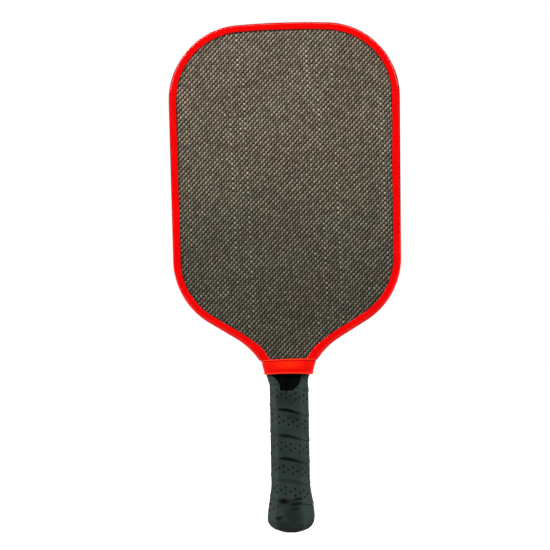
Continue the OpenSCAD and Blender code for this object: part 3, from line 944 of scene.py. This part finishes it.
def wrap_relief(heights, around, length):
    """How far the wrap stands out from its even thickness, and the painted shade of its folds, seams
    and pores.
    """
    tall = heights[:, None]
    lap = around / length[:, None]
    middle = FRONT_HALF / length[:, None]
    turns = np.interp(-tall, -SEAMS, np.arange(len(SEAMS)) - 1.0)
    phase = turns - (lap - middle)
    turn = np.floor(phase)
    below = seam_height(turn + lap - middle) - tall
    above = tall - seam_height(turn + 1 + lap - middle)
    step = STEP_HEIGHT * smoothstep(5.5, 0.9, above) * smoothstep(0.0, 0.35, above)
    tuck = -TUCK_DEPTH * hump(below, 0.9)
    half_turn = length[:, None] / 2
    from_front = (around - FRONT_HALF + half_turn) % (2 * half_turn) - half_turn
    from_back = (around - FRONT_HALF + 2 * half_turn) % (2 * half_turn) - half_turn
    depth_of = np.interp(turn, np.arange(len(SAG_BY_TURN)) - 1, SAG_BY_TURN)
    on_front = smoothstep(11.0, 7.5, np.abs(from_front - 1.2))
    on_back = smoothstep(10.0, 6.5, np.abs(from_back - 1.0))
    tall_fold = 0.3 + 2.0 * hump(from_front + 0.5, 8.5)
    band = smoothstep(1.5, 0.8, above / tall_fold) * smoothstep(0.0, 0.3, above)
    sagging = depth_of * np.maximum(on_front, on_back) * band
    relief = step + tuck - SAG_DEPTH * sagging
    # Painted shade where the lower edges sag and just under each seam.
    dark = sagging + 0.35 * hump(below, 0.7)
    # The folds are pressed in on the front, and more faintly on the back, with painted shade in
    # them.
    for place, height, long, thin, tilt, strength in FOLDS:
        for centre, scale in ((from_front, 1.0), (-from_back, 0.7)):
            dx = centre - place + 0.6 * np.sin(0.9 * tall)
            dy = tall - height + 0.45 * np.sin(0.5 * centre)
            c = math.cos(math.radians(tilt))
            s = math.sin(math.radians(tilt))
            spot = np.exp(-(((dx * c + dy * s) / long) ** 2) - ((dy * c - dx * s) / thin) ** 2)
            crease = strength * scale * smoothstep(0.08, 0.8, spot)
            relief -= FOLD_DEPTH * crease
            dark = np.maximum(dark, 0.95 * crease)
    # The perforations are pressed in and painted dark as shade.
    pores = pore_pattern((turn + lap) * TURN_LENGTH, below)
    pores *= turn < PORE_TURNS
    relief -= PORE_DEPTH * pores
    return relief, np.clip(np.maximum(dark, pores), 0, 1)


def tapered_end(heights, rows):
    """1 where the wrap's cut end thins out, on the right just under the collar, and 0 elsewhere."""
    return smoothstep(117.5, 127.0, heights)[:, None] * smoothstep(7.0, 12.0, rows[..., 0])


def overgrip(material):
    """The wrap: a sleeve over the felt, notched, with its step, folds and perforations in relief."""
    columns = 300
    cell = 0.33
    count = round((WRAP_END - WRAP_START) / cell) + 1
    heights = np.linspace(WRAP_START, WRAP_END, count)
    rows, normals, around, length = handle_rows(heights, WRAP - 0.08, columns)
    relief, dark = wrap_relief(heights, around, length)
    rim = hump(heights - WRAP_START, 0.8) + hump(heights - WRAP_END, 0.8)
    thin = tapered_end(heights, rows)
    lift = (relief - 0.3 * rim[:, None]) * (1 - thin) - 1.1 * thin
    outer = raise_rows(rows, normals, heights, lift)
    inner = raise_rows(*handle_rows(heights, FELT, columns)[:2], heights, -0.38 * thin)
    keep = cut_notch(outer, inner, cell)
    points, faces, used = shell(outer, inner, keep, True)
    # Painted shade on the outside only.
    shade = np.concatenate([dark.ravel(), np.zeros(dark.size)])[used]
    return make_piece("overgrip", points, faces, material, "grip", "grip_tape", shade=shade)


def grip_backing(material):
    """The felt under the overgrip, with a slightly uneven surface."""
    columns = 90
    cell = 1.1
    count = round((WRAP_END - WRAP_START) / cell) + 1
    heights = np.linspace(WRAP_START + 0.1, WRAP_END - 0.1, count)
    rows, normals, around, _ = handle_rows(heights, FELT - 0.1, columns)
    uneven = 0.04 * np.sin(around * 1.7 + heights[:, None] * 0.9)
    outer = raise_rows(rows, normals, heights, uneven - 0.34 * tapered_end(heights, rows))
    under = 0.02 + FINISH * smoothstep(FINISH_BOTTOM - 2, FINISH_BOTTOM - 1, heights)
    inner = raise_rows(*handle_rows(heights, under, columns)[:2], heights)
    keep = cut_notch(outer, inner, cell)
    points, faces, _ = shell(outer, inner, keep, True)
    return make_piece("grip_backing", points, faces, material, "felt", "grip_felt")


def finishing_band(material):
    """The finishing tape, with shallow creases where it goes over the ramps."""
    columns = 160
    heights = np.linspace(FINISH_BOTTOM, FINISH_TOP, 31)
    rows, normals, around, _ = handle_rows(heights, FINISH - 0.03, columns, corner=1.6)
    crease = 0.03 * np.sin(around * 0.8 + heights[:, None] * 1.9)
    outer = raise_rows(rows, normals, heights, crease)
    inner = raise_rows(*handle_rows(heights, CLEAR, columns, corner=1.6)[:2], heights)
    keep = np.ones((len(heights) - 1, columns), bool)
    points, faces, _ = shell(outer, inner, keep, True)
    return make_piece("finishing_band", points, faces, material, "finishing_tape", "finishing_tape")


# Where on the butt's rounding its dome starts, the share of it that is flat, and how the rest
# curves.
DOME_ANGLE = math.radians(28)
DOME_FLAT = 0.35
DOME_POWER = 1.35


def handle_ring(height, skin, columns, corner, flared=True):
    """One row of handle_rows() as a ring of (x, y, height)."""
    rows, normals = handle_rows([height], skin, columns, corner, flared)[:2]
    return raise_rows(rows, normals, [height])[0]


def butt_end(material):
    """The butt cap: a domed end with a flange under the wrap, a tapered skirt, and the cavity
    that the handle's foot sits in."""
    columns = 128
    flange = WRAP_START - 0.12
    dome_top = FLARE_HEIGHT - BUTT_ROUND * math.cos(DOME_ANGLE)
    base = handle_ring(dome_top, WRAP - 0.1, columns, 5.0)
    rings = []
    # The dome, then the outside up to the flange, the skirt, and back down into the cavity.
    for share in np.linspace(DOME_FLAT, 1, 14)[:-1]:
        ring = base.copy()
        ring[:, :2] *= share
        ring[:, 2] = dome_top * ((share - DOME_FLAT) / (1 - DOME_FLAT)) ** DOME_POWER
        rings.append(ring)
    profile = [(h, WRAP - 0.1) for h in np.linspace(dome_top, flange, 6)]
    profile += [(flange + 0.08, WRAP - 0.3), (flange + 0.1, 0.0)]
    profile += [(h, -0.02) for h in np.linspace(flange + 0.6, CAP_TOP, 24)]
    rings += [handle_ring(height, skin, columns, 4.0) for height, skin in profile]
    for height in (CAP_TOP, END_PLATE):
        rings.append(handle_ring(height, CLEAR, columns, 2.6, flared=False))
    points, faces = loft(rings, closed=False, caps=True)
    return make_piece("butt_end", points, faces, material, "butt_cap", "butt_cap")


# ---- The object ----

carbon = carbon_finish()
face_sheet("front_woven_face", "front_face_sheet", -1, carbon)
face_sheet("back_woven_face", "back_face_sheet", 1, carbon)
edge_guard(guard_finish())
guard_adhesive(
    moulded_finish("adhesive", (0.003, 0.003, 0.003), (0.007, 0.007, 0.007), 1800.0, 0.7, 0.0001)
)
collar(collar_finish())
overgrip(grip_finish())
grip_backing(fibre_finish("felt", (0.02, 0.022, 0.02), (0.05, 0.052, 0.048), 900.0, 0.9))
finishing_band(tape_finish())
butt_end(
    moulded_finish("butt_cap", (0.006, 0.007, 0.007), (0.012, 0.013, 0.013), 2600.0, 0.5, 0.00005)
)

# The inner parts are the CAD model's own solids.
honeycomb = moulded_finish("honeycomb", (0.62, 0.62, 0.58), (0.74, 0.74, 0.7), 900.0, 0.45, 0.0001)
veil = fibre_finish("veil", (0.5, 0.5, 0.48), (0.7, 0.7, 0.67), 500.0, 0.8)
pallet = moulded_finish("pallet", (0.02, 0.02, 0.021), (0.035, 0.035, 0.037), 1100.0, 0.75, 0.00015)
for node, finish in (
    ("honeycomb_core", honeycomb),
    ("front_core_veil", veil),
    ("back_core_veil", veil),
    ("front_handle_pallet", pallet),
    ("back_handle_pallet", pallet),
):
    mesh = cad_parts[node].data
    mesh.materials.clear()
    mesh.materials.append(finish)


# ---- Floor, light and camera ----

object_low, object_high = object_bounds()
object_centre = (object_low + object_high) / 2

# In metres: the floor's radius, and how far it lies under the butt.
FLOOR_RADIUS = 1.6
FLOOR_GAP = 0.0005
# Strength of the surroundings as a source of light, where the camera sees 1.
AMBIENT = 0.06


def studio_floor():
    """A round pale floor just under the butt, which looks white and only bounces light."""
    ring = [
        Vector((math.cos(a), math.sin(a), 0)) * FLOOR_RADIUS
        + Vector((0, 0, object_low.z - FLOOR_GAP))
        for a in np.linspace(0, 2 * math.pi, 97)[:-1]
    ]
    mesh = bpy.data.meshes.new("studio_floor")
    mesh.from_pydata(ring, [], [list(range(len(ring)))])
    f = Finish("studio_white", roughness=0.9)
    f.set("Emission Color", (1, 1, 1, 1))
    f.set("Emission Strength", f.add("ShaderNodeLightPath").outputs["Is Camera Ray"])
    f.set("Base Color", f.mix(f.noise(8.0), (0.33, 0.33, 0.33), (0.37, 0.37, 0.37)))
    mesh.materials.append(f.material)
    floor = bpy.data.objects.new("studio_floor", mesh)
    bpy.context.scene.collection.objects.link(floor)


def studio_world(ambient):
    """White surroundings: full white to the eye, softer as a source of light."""
    world = bpy.data.worlds.new("studio")
    world.use_nodes = True
    bpy.context.scene.world = world
    nodes, links = world.node_tree.nodes, world.node_tree.links
    background = nodes["Background"]
    background.inputs["Color"].default_value = (1, 1, 1, 1)
    ray = nodes.new("ShaderNodeLightPath")
    level = nodes.new("ShaderNodeMapRange")
    level.inputs["To Min"].default_value = ambient
    level.inputs["To Max"].default_value = 1.0
    links.new(ray.outputs["Is Camera Ray"], level.inputs["Value"])
    links.new(level.outputs["Result"], background.inputs["Strength"])


def softbox(name, place, size, power, mirrored=True):
    """A soft area light that looks at the middle of the object. One that isn't mirrored draws no
    highlight on it."""
    data = bpy.data.lights.new(name, "AREA")
    data.shape = "RECTANGLE"
    data.size, data.size_y = size
    data.energy = power
    lamp = bpy.data.objects.new(name, data)
    lamp.location = object_centre + Vector(place)
    lamp.rotation_euler = (object_centre - lamp.location).to_track_quat("-Z", "Y").to_euler()
    lamp.visible_glossy = mirrored
    bpy.context.scene.collection.objects.link(lamp)


# Sensor width in millimetres, distance and width of view in metres, direction from the front's
# middle, roll, and the shift that frames the object as the photograph does.
SENSOR = 36.0
DISTANCE = 0.9
FRAME_WIDTH = 0.4542
AZIMUTH = math.radians(3.35)
ELEVATION = math.radians(-0.69)
ROLL = math.radians(-1.03)
SHIFT = (-0.0221, 0.0036)


def studio_camera():
    """A camera just to the right of the middle, turned so that the paddle leans to the left."""
    data = bpy.data.cameras.new("camera")
    data.sensor_width = SENSOR
    data.lens = SENSOR * DISTANCE / FRAME_WIDTH
    data.shift_x, data.shift_y = SHIFT
    data.clip_end = 20
    camera = bpy.data.objects.new("camera", data)
    bpy.context.scene.collection.objects.link(camera)
    back = Vector((math.sin(AZIMUTH), -math.cos(AZIMUTH), math.tan(ELEVATION))).normalized()
    turn = back.to_track_quat("Z", "Y").to_matrix().to_4x4() @ Matrix.Rotation(ROLL, 4, "Z")
    camera.matrix_world = Matrix.Translation(object_centre + back * DISTANCE) @ turn
    bpy.context.scene.camera = camera


studio_floor()
studio_world(AMBIENT)
# The side boxes only fill; those in front and behind also show as highlights.
softbox("left_box", (-1.5, 0.0, 0.1), (1.0, 1.4), 38.0, mirrored=False)
softbox("right_box", (1.5, 0.0, 0.1), (1.0, 1.4), 32.0, mirrored=False)
for side, face, rise in ((-1, "front", 1.3), (1, "back", 2.0)):
    softbox(face + "_left_box", (-2.0, 1.5 * side, rise), (1.0, 1.0), 34.0)
    softbox(face + "_right_box", (2.0, 1.5 * side, rise), (1.0, 1.0), 28.0)
    softbox(face + "_strip", (-0.1, 0.8 * side, 1.3), (2.4, 0.14), 22.0)
studio_camera()
bpy.context.scene.view_settings.view_transform = "Standard"
